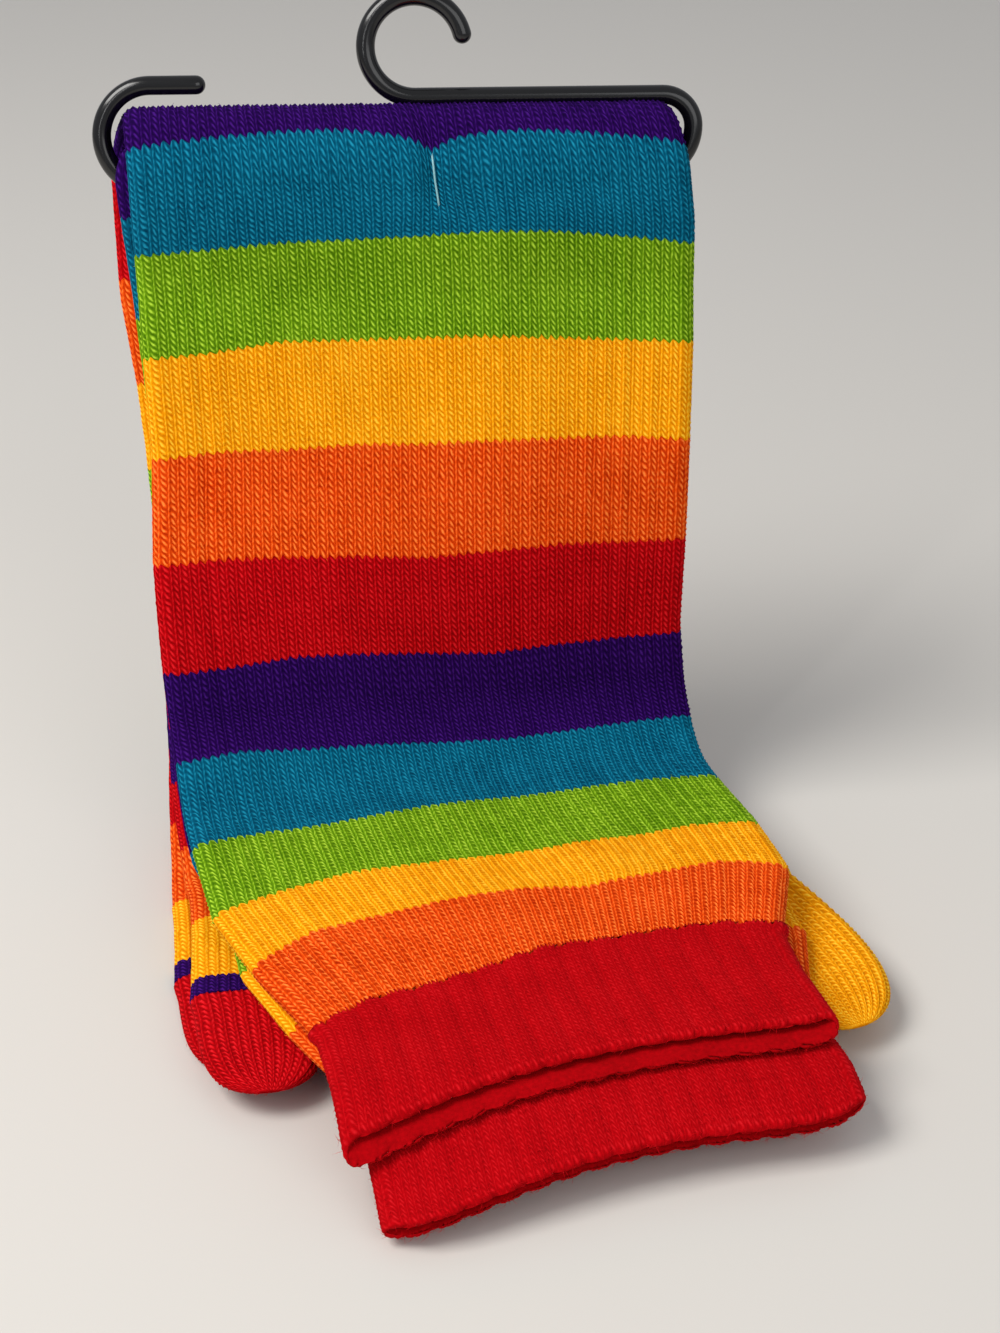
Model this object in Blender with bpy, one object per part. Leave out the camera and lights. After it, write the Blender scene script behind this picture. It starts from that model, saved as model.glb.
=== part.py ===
"""A pair of striped toe socks, laid together and folded over the lower rod of a bent-rod hanger.

Both socks hang down in front of the rod and behind it, lean back a little, then turn forward and lie flat:
the feet below, the legs and cuffs on top of them. Sizes are in millimetres and are scaled to metres when a
mesh is made. +X runs along the hanger to the right, +Y away from the front, +Z up. The origin is the point
inside the top of the hook that a peg carries.
"""

import math

import bmesh
import bpy
import numpy as np

MM = 0.001

# Hanger, in its own plane: u to the right, v up from the lower rod's axis
ROD_RADIUS = 1.7
ROD_SIDES = 10
HOOK_U = 1.4
HOOK_RADIUS = 8.8
HOOK_TIP_ANGLE = 14
TOP_ROD_V = 14.0
LEFT_BEND_RADIUS = 9.0
LEFT_BEND_U = -46.2
LEFT_BEND_V = 7.6
ARM_TIP_U = -37.9
LOWER_ROD_START_U = -36.0
RIGHT_BEND_U = 43.35
RIGHT_BEND_RADIUS = 8.4

# The folded pair
LEAN = 13.5
DROP_TO_REST = 119.9
FRONT_BEND_RADIUS = 17.6
TUBE = 3.8
WALL = 1.7
GAP = 0.3
EDGE_ROUND = 2.6
FOLD_SWELL = 1.0
FOLD_LEFT = 51.0
PINCH_POWER = 1.4
BEND_STEPS = 7
LEG_STRIPE = 18.3
LEG_START = -5.4

# Which way the path of the socks faces, in degrees to the right. columns: distance, leg, foot
HEADINGS = (
    (0, 0, 0),
    (50, 0, 0),
    (68, 3, 3),
    (86, 6.5, 6.5),
    (129, 14, 14),
    (142, 15, 8),
    (155, 15, 4),
    (190, 13, 3),
    (205, 10, 3),
    (240, 8, 3),
)

# Half the flat width to the left and right of the path. columns: distance from the fold, left, right
LEG_WIDTHS = (
    (0, 49.6, 50.2),
    (8, 49.4, 51.0),
    (31, 48.7, 51.2),
    (50, 48.0, 50.7),
    (68, 49.0, 50.1),
    (86, 49.0, 49.2),
    (108, 48.5, 50.3),
    (133, 49.0, 50.6),
    (152, 49.7, 51.5),
    (170, 45.8, 50.8),
    (188, 40.2, 42.6),
    (200, 40.0, 42.0),
    (240, 39.8, 43.4),
)
FOOT_WIDTHS = (
    (0, 54.6, 47.4),
    (8, 54.4, 48.6),
    (22, 53.8, 48.8),
    (38, 51.6, 48.8),
    (56, 50.0, 48.4),
    (80, 48.0, 48.0),
    (104, 49.0, 47.4),
    (120, 51.2, 48.0),
    (130, 53.3, 49.6),
    (145, 53.9, 51.6),
    (165, 54.0, 54.0),
    (200, 55.0, 55.0),
)

# How much wider the inner sock is than those widths to the left and to the right
INNER_LEG_EASES = (
    (0, 2.8, -3.4),
    (22, 1.4, -2.0),
    (50, 0, 0),
    (129, 0, 0),
    (145, -2.7, 0),
    (165, -3.2, 0),
    (180, -3.9, 0),
    (197, -4.2, 0),
    (222, -4.2, 0.9),
    (240, -4.2, 0.9),
)
INNER_FOOT_EASES = (
    (0, -3.6, 0),
    (30, -3.0, 0),
    (68, 0, 0),
    (240, 0, 0),
)

# How the legs' stripes are skewed: left side forward and right side back, and middle back.
# columns: distance, slant, bow
LEG_SKEWS = (
    (0, 0, 0),
    (13, 0, 2.6),
    (31, 0, 2.4),
    (50, 0, 1.2),
    (68, 0, -0.8),
    (108, 0, -0.4),
    (131, 0, 0),
    (152, 1, 4.5),
    (170, 2, 8),
    (188, 3.5, 7),
    (205, 5, 6.5),
    (240, 5, 6),
)

# Toes from the big one outwards.
# columns: colour, length, turn outwards in degrees, squareness of the end, bow outwards halfway
TOES = (
    ("red", 25.8, 4, 5, 0),
    ("purple", 29, 5, 7, 0),
    ("blue", 28, 9, 7, 0),
    ("green", 28, 14, 7, 0),
    ("yellow", 46, 18.5, 7, 3),
)

# How the roots of the toes lie: columns: share of the half width, from the big toe's side, and way forward
TOE_ROOTS = (
    (-1.0, 3.5),
    (-0.2, 2.0),
    (0.2, -1.0),
    (0.6, -8.0),
    (1.0, -30.0),
)
TOE_SLANT_START = 127
TOE_SLANT_END = 164
TOE_RINGS = (0.22, 0.5, 0.76, 0.93)
TOE_STEPS = 3

# Cuffs
CUFF_RIBS = 15
RIB_STEPS = 3
RIB_DEPTH = 0.45
CUFF_RINGS = 6
CORNER_POWER = 7
DROOP_START = 207.0
DROOP_LENGTH = 22.0
DROOP_MIDDLE = 2.6
DROOP_LEFT = 6.6
DROOP_RIGHT = 2.6

# columns: name, layer out from the rod, extra reach of its cuff, lengths of its last two leg stripes, length of
# its cuff, how far its mouth's corners are cut back, start of its foot's first stripe, shift of its toes to the
# right, skew of its mouth, depth and rise of its fold, and half width of the fold's top on the right, where it
# keeps clear of the hanger's bend
SOCKS = (
    ("inner", 0, 12.0, (18.3, 18.9), 29.6, (6.0, 5.5), 3.5, 3.3, -0.4, 3.9, 4.4, 45.4),
    ("outer", 1, 0.0, (15.3, 18.3), 29.0, (2.0, 3.0), -2.0, 0.0, 3.0, 8.25, 9.8, 46.8),
)

# columns: degrees round the fold from the front to the back
FOLD_SECTIONS = (0, 18, 32, 50, 70, 90, 110, 130, 155)
FOLD_COLOUR_START = 32

# Distances from the fold where every layer has a cross section, so that they bend alike
COMMON_SECTIONS = (0, 4, 9, 15, 22, 50, 59, 68, 77, 86)
SECTION_SPACE = 0.5
PANEL_STEPS = 6
SEAM_STEPS = 18

COLOURS = {
    "purple": (0.045, 0.004, 0.11),
    "blue": (0.0, 0.19, 0.32),
    "green": (0.23, 0.47, 0.01),
    "yellow": (0.95, 0.42, 0.004),
    "orange": (0.93, 0.14, 0.006),
    "red": (0.53, 0.002, 0.006),
}
PALETTE = tuple(COLOURS)
LEG_COLOURS = ("blue", "green", "yellow", "orange", "red", "purple")
LEG_STRIPES = 10
# columns: colour, length
FOOT_STRIPES = (
    ("red", 18.3),
    ("orange", 18.3),
    ("yellow", 18.3),
    ("green", 18.3),
    ("blue", 18.3),
    ("purple", 18.3),
    ("red", 18.3),
    ("orange", 18.3),
    ("yellow", 18.3),
    ("purple", 5.0),
)
HANGER_COLOUR = (0.012, 0.012, 0.013)

PATH_STEP = 1.0
PATH_LENGTH = 260.0
ACROSS = np.array((1.0, 0.0, 0.0))
DOWN = np.array((0.0, 0.0, -1.0))
LEAN_ANGLE = math.radians(LEAN)
UP = np.array((0.0, math.sin(LEAN_ANGLE), math.cos(LEAN_ANGLE)))
FRONT = np.array((0.0, -math.cos(LEAN_ANGLE), math.sin(LEAN_ANGLE)))
HOOK_V = TOP_ROD_V + HOOK_RADIUS
ROD_CENTRE = -(HOOK_V + HOOK_RADIUS - ROD_RADIUS) * UP - HOOK_U * ACROSS
STACK = GAP / 2 + TUBE + GAP + TUBE
BEND_RADIUS = FRONT_BEND_RADIUS + STACK
BEND_TURN = math.pi / 2 - LEAN_ANGLE
BEND_START = (DROP_TO_REST - STACK - BEND_RADIUS * (1 - math.sin(LEAN_ANGLE))) / math.cos(LEAN_ANGLE)
BEND_END = BEND_START + BEND_RADIUS * BEND_TURN


def clear_scene():
    for obj in list(bpy.data.objects):
        bpy.data.objects.remove(obj)


def make_material(name, colour, roughness):
    material = bpy.data.materials.new(name)
    material.use_nodes = True
    shader = material.node_tree.nodes["Principled BSDF"]
    shader.inputs["Base Color"].default_value = (*colour, 1)
    shader.inputs["Roughness"].default_value = roughness
    shader.inputs["Metallic"].default_value = 0
    return material


def column(table, index, at):
    """One column of a table whose first column is a distance, read between its rows."""
    return float(np.interp(at, [row[0] for row in table], [row[index] for row in table]))


def smooth(t):
    t = min(max(t, 0.0), 1.0)
    return t * t * (3 - 2 * t)


class Shape:
    """Points and faces of one node, gathered ring by ring."""

    def __init__(self):
        self.points = []
        self.faces = []
        self.paints = []

    def add_ring(self, points):
        first = len(self.points)
        self.points.extend(points)
        return list(range(first, len(self.points)))

    def add_face(self, corners, paint):
        self.faces.append(corners)
        self.paints.append(paint)

    def bridge(self, one, two, paint):
        """A band of quads between two closed rings with equally many points."""
        count = len(one)
        for k in range(count):
            after = (k + 1) % count
            self.add_face((one[k], one[after], two[after], two[k]), paint)

    def stitch(self, one, two, paint):
        """A band of triangles between two closed rings that start side by side but differ in count."""
        i = 0
        j = 0
        while i < len(one) or j < len(two):
            if j == len(two) or (i < len(one) and (i + 1) / len(one) <= (j + 1) / len(two)):
                self.add_face((one[i % len(one)], one[(i + 1) % len(one)], two[j % len(two)]), paint)
                i += 1
            else:
                self.add_face((one[i % len(one)], two[(j + 1) % len(two)], two[j % len(two)]), paint)
                j += 1

    def close(self, ring, point, paint):
        """A fan of triangles from a ring to one point."""
        tip = self.add_ring([point])[0]
        for k in range(len(ring)):
            self.add_face((ring[k], ring[(k + 1) % len(ring)], tip), paint)

    def make_object(self, name, materials):
        bm = bmesh.new()
        verts = [bm.verts.new([float(c) * MM for c in p]) for p in self.points]
        for corners, paint in zip(self.faces, self.paints):
            face = bm.faces.new([verts[c] for c in corners])
            face.material_index = paint
            face.smooth = True
        bmesh.ops.recalc_face_normals(bm, faces=bm.faces)
        bmesh.ops.triangulate(bm, faces=bm.faces)
        mesh = bpy.data.meshes.new(name)
        bm.to_mesh(mesh)
        bm.free()
        for material in materials:
            mesh.materials.append(material)
        obj = bpy.data.objects.new(name, mesh)
        bpy.context.scene.collection.objects.link(obj)
        return obj


class Path:
    """The line midway between the legs and the feet, with the directions along it and across it."""

    def __init__(self, heading_column):
        self.distances = np.arange(0, PATH_LENGTH + PATH_STEP, PATH_STEP)
        points = []
        tangents = []
        widths = []
        point = ROD_CENTRE.copy()
        for distance in self.distances:
            turned = min(max((distance - BEND_START) / (BEND_END - BEND_START), 0), 1)
            angle = LEAN_ANGLE + turned * BEND_TURN
            heading = math.radians(column(HEADINGS, heading_column, distance))
            forward = np.array((math.sin(heading), -math.cos(heading), 0))
            points.append(point)
            tangents.append(math.sin(angle) * forward + math.cos(angle) * DOWN)
            widths.append((math.cos(heading), math.sin(heading), 0))
            point = point + tangents[-1] * PATH_STEP
        self.points = np.array(points)
        self.tangents = np.array(tangents)
        self.widths = np.array(widths)

    def read(self, values, distance):
        return np.array([np.interp(distance, self.distances, values[:, axis]) for axis in range(3)])

    def place(self, distance, sideways, outwards):
        """A point so far along the path, to its right, and out to the front, which is the top further on."""
        across = self.read(self.widths, distance)
        normal = np.cross(self.read(self.tangents, distance), across)
        normal = normal / np.linalg.norm(normal)
        return self.read(self.points, distance) + sideways * across + outwards * normal


LEG_PATH = Path(1)
FOOT_PATH = Path(2)


def path_distance(length, radius):
    """Distance along the path of a point so far along a face that goes round the bend at this radius."""
    turn = radius * BEND_TURN
    if length < BEND_START:
        return length
    if length < BEND_START + turn:
        return BEND_START + (length - BEND_START) * BEND_RADIUS / radius
    return BEND_END + length - BEND_START - turn


class Sock:
    """Where one sock runs: down its leg, round its fold and down its foot."""

    def __init__(self, row):
        self.name, self.layer, self.cuff_reach, self.late_stripes, self.cuff_length, self.corners = row[:6]
        self.foot_start, self.toe_shift, self.skew, self.depth, self.rise, self.top_right = row[6:]
        layer = self.layer
        self.closed = GAP / 2 + TUBE / 2 + layer * (TUBE + GAP)
        self.leg_bounds = self.find_leg_bounds()
        self.foot_bounds = self.find_foot_bounds()

    def find_leg_bounds(self):
        """Where the leg's stripes meet, from the fold to the cuff. The first may lie in the fold."""
        lengths = [LEG_START + self.cuff_reach + LEG_STRIPE * k for k in range(LEG_STRIPES - 1)]
        for length in self.late_stripes:
            lengths.append(lengths[-1] + length)
        return [path_distance(length, FRONT_BEND_RADIUS) for length in lengths]

    def find_foot_bounds(self):
        """Where the foot's stripes meet, from the fold to the roots of the toes."""
        lengths = [self.foot_start]
        for _, length in FOOT_STRIPES:
            lengths.append(lengths[-1] + length)
        radius = BEND_RADIUS + self.closed
        return [path_distance(n, radius) for n in lengths]

    def offset(self, distance):
        """How far the sock's middle is from the path: apart round the rod, close together below it."""
        return self.closed + (self.depth - self.closed) * (1 - smooth((distance - 4) / 18))

    def leg_place(self, distance, side, height):
        left, right = self.leg_width(distance)
        share = 2 * (side + left) / (left + right) - 1
        before = distance - self.cuff_reach * smooth((distance - 100) / 40)
        slant = column(LEG_SKEWS, 1, before)
        bow = column(LEG_SKEWS, 2, before)
        along = distance - slant * share - bow * (1 - share * share)
        ramp = smooth((along - DROOP_START) / DROOP_LENGTH)
        edge = DROOP_LEFT * (1 - share) / 2 + DROOP_RIGHT * (1 + share) / 2
        sink = ramp * (DROOP_MIDDLE * (1 - share * share) + edge * share * share)
        return LEG_PATH.place(along, side, self.offset(along) + height) + sink * DOWN

    def fold_place(self, degrees, side, height):
        angle = math.radians(degrees)
        middle = self.depth * math.cos(angle) * FRONT + self.rise * math.sin(angle) * UP
        normal = math.cos(angle) / self.depth * FRONT + math.sin(angle) / self.rise * UP
        swell = 1 + FOLD_SWELL / TUBE * math.sin(angle)
        return ROD_CENTRE + middle + side * ACROSS + height * swell * normal / np.linalg.norm(normal)

    def foot_place(self, distance, side, height):
        ramp = min(max((distance - TOE_SLANT_START) / (TOE_SLANT_END - TOE_SLANT_START), 0), 1)
        along = distance + ramp * column(TOE_ROOTS, 1, side / FOOT_WIDTHS[-2][1])
        moved = side + self.toe_shift * smooth((distance - 100) / 40)
        return FOOT_PATH.place(along, moved, -self.offset(distance) - height)

    def ease(self, table, index, distance):
        return 0.0 if self.layer else column(table, index, distance)

    def leg_width(self, distance):
        before = distance - self.cuff_reach * smooth((distance - 100) / 40)
        left = column(LEG_WIDTHS, 1, before) + self.ease(INNER_LEG_EASES, 1, distance)
        right = column(LEG_WIDTHS, 2, before) + self.ease(INNER_LEG_EASES, 2, distance)
        return left, right

    def fold_width(self, degrees):
        """The width at the leg's end or the foot's end, drawn in towards the top of the fold."""
        left, right = self.leg_width(0) if degrees < 90 else self.foot_width(0)
        pinch = (min(degrees, 180 - degrees) / 90) ** PINCH_POWER
        return left + pinch * (FOLD_LEFT - left), right + pinch * (self.top_right - right)

    def foot_width(self, distance):
        left = column(FOOT_WIDTHS, 1, distance) + self.ease(INNER_FOOT_EASES, 1, distance)
        right = column(FOOT_WIDTHS, 2, distance) + self.ease(INNER_FOOT_EASES, 2, distance)
        return left, right

    def stations(self):
        """Every cross section from the cuff's seam to the toes: how to place it, its widths and its colour."""
        rows = []
        leg = spread(self.leg_bounds)
        for low, high in reversed(list(zip(leg, leg[1:]))):
            passed = sum(1 for bound in self.leg_bounds if bound < high)
            rows.append((self.leg_place, high, self.leg_width(high), LEG_COLOURS[(passed - 1) % 6]))
        for degrees in FOLD_SECTIONS:
            blue = self.leg_bounds[0] < 0 and degrees < FOLD_COLOUR_START
            rows.append((self.fold_place, degrees, self.fold_width(degrees), "blue" if blue else "purple"))
        foot = spread(self.foot_bounds)
        for low in foot:
            passed = sum(1 for bound in self.foot_bounds[:-1] if bound <= low)
            colour = FOOT_STRIPES[passed - 1][0] if passed else "purple"
            rows.append((self.foot_place, low, self.foot_width(low), colour))
        return rows


def spread(bounds):
    """Distances of the cross sections from 0 to the end: at each bound, and in between where it curves."""
    extra = list(COMMON_SECTIONS)
    extra += [BEND_START + (BEND_END - BEND_START) * k / BEND_STEPS for k in range(BEND_STEPS + 1)]
    extra = [e for e in extra if e == 0 or all(abs(e - b) > SECTION_SPACE for b in bounds)]
    return sorted(extra + [b for b in bounds if b > 0])


def flat_profile(left, right, steps, half):
    """Sideways places and heights of a flattened tube's half outline, thin and round at both edges."""
    inner_left = -left + EDGE_ROUND
    inner_right = right - EDGE_ROUND
    rows = [(-left, 0.0), (-left + 0.3 * EDGE_ROUND, 0.7 * half)]
    for k in range(steps - 1):
        rows.append((inner_left + (inner_right - inner_left) * k / (steps - 2), half))
    rows.append((right - 0.3 * EDGE_ROUND, 0.7 * half))
    rows.append((right, 0.0))
    return rows


def profile_ring(profile, place):
    """A closed ring: the outer panel from the left edge to the right one, then the inner panel back."""
    outer = [place(side, height) for side, height in profile]
    return outer + [place(side, -height) for side, height in profile[-2:0:-1]]


def sock_ring(row, inset, half, steps):
    run, at, (left, right), _ = row
    profile = flat_profile(left - inset, right - inset, steps, half)
    return profile_ring(profile, lambda side, height: run(at, side, height))


def toe_ring(sock, number, share, base):
    """A ring of one toe so far along its length, from its base point, round and thinner towards its end."""
    _, length, turn, power, bow = TOES[number]
    point, across, tangent, width = base
    angle = math.radians(turn)
    along = math.cos(angle) * tangent + math.sin(angle) * across
    beside = math.cos(angle) * across - math.sin(angle) * tangent
    taper = math.sqrt(1 - share ** power)
    half_width = width / 2 * (1 - 0.06 * share) * taper * 0.97
    half = TUBE / 2 * taper
    centre = point + along * length * share + beside * bow * 4 * share * (1 - share)
    low = -1.0 if number > 0 else -0.86
    high = 1.0 if number < len(TOES) - 1 else 0.86
    sides = [low + (high - low) * k / TOE_STEPS for k in range(TOE_STEPS + 1)]
    heights = [0.62] + [1.0] * (TOE_STEPS - 1) + [0.62]
    outer = [centre + beside * half_width * s + DOWN * half * h for s, h in zip(sides, heights)]
    inner = [centre + beside * half_width * s - DOWN * half * h for s, h in zip(sides, heights)]
    left_tip = [centre - beside * half_width] if number == 0 else []
    right_tip = [centre + beside * half_width] if number == len(TOES) - 1 else []
    return left_tip + outer + right_tip + inner[::-1]


def add_toes(shape, sock, row, ring, steps):
    """Closes a sock with its five toes, each on its own share of the last ring."""
    _, at, (left, right), _ = row
    count = steps + 3
    outer = ring[:count]
    inner = [ring[0]] + ring[count:][::-1] + [ring[count - 1]]
    across = FOOT_PATH.read(FOOT_PATH.widths, at)
    tangent = FOOT_PATH.read(FOOT_PATH.tangents, at)
    for number in range(len(TOES)):
        first = 1 + number * TOE_STEPS
        last = first + TOE_STEPS
        base = outer[first:last + 1] + inner[first:last + 1][::-1]
        if number == 0:
            base = [ring[0]] + base
        if number == len(TOES) - 1:
            base = outer[first:last + 1] + [ring[count - 1]] + inner[first:last + 1][::-1]
        corners = [np.array(shape.points[c]) for c in base]
        ends = [np.array(shape.points[c]) for c in (outer[first], outer[last], inner[first], inner[last])]
        middle = sum(ends) / len(ends)
        reach = [float(np.dot(c - middle, across)) for c in corners]
        width = max(reach) - min(reach)
        middle = middle + across * (max(reach) + min(reach)) / 2
        paint = PALETTE.index(TOES[number][0])
        before = base
        for share in TOE_RINGS:
            after = shape.add_ring(toe_ring(sock, number, share, (middle, across, tangent, width)))
            shape.bridge(before, after, paint)
            before = after
        angle = math.radians(TOES[number][2])
        tip = middle + TOES[number][1] * (math.cos(angle) * tangent + math.sin(angle) * across)
        shape.close(before, tip, paint)


def build_sock(sock, materials):
    """The leg, fold, foot and toes as one knitted wall, open where the cuff joins it."""
    shape = Shape()
    rows = sock.stations()
    hollow_half = TUBE / 2 - WALL
    before = shape.add_ring(sock_ring(rows[0], 0, TUBE / 2, SEAM_STEPS))
    hollow_before = shape.add_ring(sock_ring(rows[0], WALL, hollow_half, SEAM_STEPS))
    shape.bridge(before, hollow_before, PALETTE.index(rows[0][3]))
    for row, last in zip(rows[1:-1], rows):
        paint = PALETTE.index(last[3])
        after = shape.add_ring(sock_ring(row, 0, TUBE / 2, PANEL_STEPS))
        hollow_after = shape.add_ring(sock_ring(row, WALL, hollow_half, PANEL_STEPS))
        join = shape.bridge if len(before) == len(after) else shape.stitch
        join(before, after, paint)
        join(hollow_before, hollow_after, paint)
        before = after
        hollow_before = hollow_after
    steps = TOE_STEPS * len(TOES)
    after = shape.add_ring(sock_ring(rows[-1], 0, TUBE / 2, steps))
    shape.stitch(before, after, PALETTE.index(rows[-2][3]))
    sole = sum(np.array(shape.points[c]) for c in hollow_before) / len(hollow_before)
    shape.close(hollow_before, sole, PALETTE.index("purple"))
    add_toes(shape, sock, rows[-1], after, steps)
    return shape.make_object(sock.name + "_sock", materials)


def rib_profile(left, right):
    """Like the flat profile, with the knitted ribs raised in its outer points."""
    half = TUBE / 2
    rows = [(-left, 0.0), (-left + 0.3 * EDGE_ROUND, 0.7 * half)]
    span = left + right - 2 * EDGE_ROUND
    for k in range(RIB_STEPS * CUFF_RIBS + 1):
        side = -left + EDGE_ROUND + span * k / (RIB_STEPS * CUFF_RIBS)
        rows.append((side, half - (0 if k % RIB_STEPS else RIB_DEPTH)))
    rows.append((right - 0.3 * EDGE_ROUND, 0.7 * half))
    rows.append((right, 0.0))
    return rows


def corner_round(sock, share):
    """How far a corner of the cuff's mouth is cut back at this share of the half width."""
    return sock.corners[0 if share < 0 else 1] * abs(share) ** CORNER_POWER


def build_cuff(sock, material):
    """The ribbed cuff, a sleeve open at both ends, whose mouth is cut back at its corners."""
    shape = Shape()
    seam = sock.leg_bounds[-1] + GAP
    outer_rings = []
    hollow_rings = []
    for k in range(CUFF_RINGS + 1):
        share = k / CUFF_RINGS
        distance = seam + sock.cuff_length * share
        left, right = sock.leg_width(distance)

        span = ((left + right) / 2, (right - left) / 2)

        def place(side, height, grow=share, base=distance, span=span):
            half, shift = span
            corner = corner_round(sock, (side - shift) / half)
            skewed = sock.skew * (0.5 - 0.5 * height / (TUBE / 2))
            return sock.leg_place(base + grow * (skewed - corner), side, height)

        outer_rings.append(shape.add_ring(profile_ring(rib_profile(left, right), place)))
        hollow = flat_profile(left - WALL, right - WALL, PANEL_STEPS, TUBE / 2 - WALL)

        def hollow_place(side, height, grow=share, base=distance, span=span):
            half, shift = span
            corner = corner_round(sock, (side - shift) / half)
            skewed = sock.skew * (0.5 - 0.5 * np.sign(height))
            return sock.leg_place(base + grow * (skewed - corner), side, height)

        hollow_rings.append(shape.add_ring(profile_ring(hollow, hollow_place)))
    for rings in (outer_rings, hollow_rings):
        for one, two in zip(rings, rings[1:]):
            shape.bridge(one, two, 0)
    shape.stitch(outer_rings[0], hollow_rings[0], 0)
    shape.stitch(outer_rings[-1], hollow_rings[-1], 0)
    return shape.make_object(sock.name + "_cuff", [material])


def arc(u, v, radius, start, end, count):
    """Points on an arc in the hanger's plane, from one angle in degrees to another."""
    angles = [math.radians(start + (end - start) * k / count) for k in range(count + 1)]
    return [(u + radius * math.cos(a), v + radius * math.sin(a)) for a in angles]


def hanger_line():
    """The hanger's centre line: arm, left bend, lower rod, right bend, top rod and hook."""
    line = [(ARM_TIP_U, LEFT_BEND_V + LEFT_BEND_RADIUS)]
    line += arc(LEFT_BEND_U, LEFT_BEND_V, LEFT_BEND_RADIUS, 90, 262, 13)
    dip = LEFT_BEND_V - LEFT_BEND_RADIUS
    for k in (1, 2, 3):
        share = k / 4
        line.append((LEFT_BEND_U + share * (LOWER_ROD_START_U - LEFT_BEND_U), dip * (1 - smooth(share))))
    line.append((LOWER_ROD_START_U, 0))
    line.append((0, 0))
    line += arc(RIGHT_BEND_U, RIGHT_BEND_RADIUS, RIGHT_BEND_RADIUS, -90, 0, 6)
    upper_radius = TOP_ROD_V - RIGHT_BEND_RADIUS
    upper_u = RIGHT_BEND_U + RIGHT_BEND_RADIUS - upper_radius
    line += arc(upper_u, RIGHT_BEND_RADIUS, upper_radius, 0, 90, 5)[1:]
    line += arc(HOOK_U, HOOK_V, HOOK_RADIUS, 270, HOOK_TIP_ANGLE, 20)
    return line


def build_hanger(material):
    """One bent round rod with rounded ends."""
    line = [np.array(p, float) for p in hanger_line()]
    shape = Shape()
    before = None
    for k, point in enumerate(line):
        ahead = line[min(k + 1, len(line) - 1)] - line[max(k - 1, 0)]
        ahead = ahead / np.linalg.norm(ahead)
        beside = np.array((-ahead[1], ahead[0]))
        centre = ROD_CENTRE + point[0] * ACROSS + point[1] * UP
        outward = beside[0] * ACROSS + beside[1] * UP
        tangent = ahead[0] * ACROSS + ahead[1] * UP
        ends = [(0.0, 1.0)]
        if k == 0:
            ends = [(-0.8, 0.6), (0.0, 1.0)]
        if k == len(line) - 1:
            ends = [(0.0, 1.0), (0.8, 0.6)]
        for step, thin in ends:
            ring = []
            for side in range(ROD_SIDES):
                angle = 2 * math.pi * side / ROD_SIDES
                spoke = math.cos(angle) * outward + math.sin(angle) * FRONT
                ring.append(centre + ROD_RADIUS * (step * tangent + thin * spoke))
            after = shape.add_ring(ring)
            if before is None:
                shape.close(after, centre - ROD_RADIUS * tangent, 0)
            else:
                shape.bridge(before, after, 0)
            before = after
    shape.close(before, centre + ROD_RADIUS * tangent, 0)
    return shape.make_object("hanger", [material])


def main():
    clear_scene()
    yarns = [make_material(name + "_knit", COLOURS[name], 0.85) for name in PALETTE]
    build_hanger(make_material("gloss_rod", HANGER_COLOUR, 0.25))
    for row in SOCKS:
        sock = Sock(row)
        build_sock(sock, yarns)
        build_cuff(sock, yarns[PALETTE.index("red")])


main()
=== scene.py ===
"""Looks of a pair of striped toe socks folded over a rod hanger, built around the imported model.

Sizes are in millimetres and scaled to metres when a mesh is made. +X runs along the hanger to the right,
+Y away from the front, +Z up. The origin is the point inside the top of the hook that a peg carries.
"""

import math

import bpy
import numpy as np
from mathutils import Matrix, Vector


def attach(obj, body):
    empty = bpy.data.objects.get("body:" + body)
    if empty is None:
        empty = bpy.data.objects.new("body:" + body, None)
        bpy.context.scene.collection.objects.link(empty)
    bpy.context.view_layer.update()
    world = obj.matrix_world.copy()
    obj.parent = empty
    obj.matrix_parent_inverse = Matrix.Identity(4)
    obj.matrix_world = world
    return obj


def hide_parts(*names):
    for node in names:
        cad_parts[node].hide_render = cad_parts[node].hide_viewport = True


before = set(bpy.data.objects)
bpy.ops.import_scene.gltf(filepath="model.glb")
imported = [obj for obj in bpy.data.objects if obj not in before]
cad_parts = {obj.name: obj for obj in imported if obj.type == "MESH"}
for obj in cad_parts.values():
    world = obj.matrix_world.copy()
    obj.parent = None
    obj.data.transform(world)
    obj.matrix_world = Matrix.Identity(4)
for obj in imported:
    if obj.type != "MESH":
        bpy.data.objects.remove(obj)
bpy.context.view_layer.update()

MM = 0.001
SEED = 11

# ---------------------------------------------------------------- sizes shared with the solids
ROD_RADIUS = 1.7
HOOK_U = 1.4
HOOK_RADIUS = 8.8
HOOK_TIP_ANGLE = 14
TOP_ROD_V = 14.0
LEFT_BEND_RADIUS = 9.0
LEFT_BEND_U = -46.2
LEFT_BEND_V = 7.6
ARM_TIP_U = -37.9
LOWER_ROD_START_U = -36.0
RIGHT_BEND_U = 43.35
RIGHT_BEND_RADIUS = 8.4
LEAN = 13.5
DROP_TO_REST = 119.9
FRONT_BEND_RADIUS = 17.6
TUBE = 3.8
WALL = 1.7
GAP = 0.3
FOLD_SWELL = 1.0
FOLD_LEFT = 51.0
PINCH_POWER = 1.4
LEG_STRIPE = 18.3
LEG_START = -5.4
DROOP_START, DROOP_LENGTH = 207.0, 22.0
DROOP_MIDDLE, DROOP_LEFT, DROOP_RIGHT = 2.6, 6.6, 2.6
TOE_SLANT_START, TOE_SLANT_END = 127, 164
TOE_BAND = 5.0
CORNER_POWER = 7

# columns: distance, leg heading, foot heading in degrees to the right
HEADINGS = np.array((
    (0, 0, 0), (50, 0, 0), (68, 3, 3), (86, 6.5, 6.5), (129, 14, 14),
    (142, 15, 8), (155, 15, 4), (190, 13, 3), (205, 10, 3), (240, 8, 3),
), float)
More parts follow.
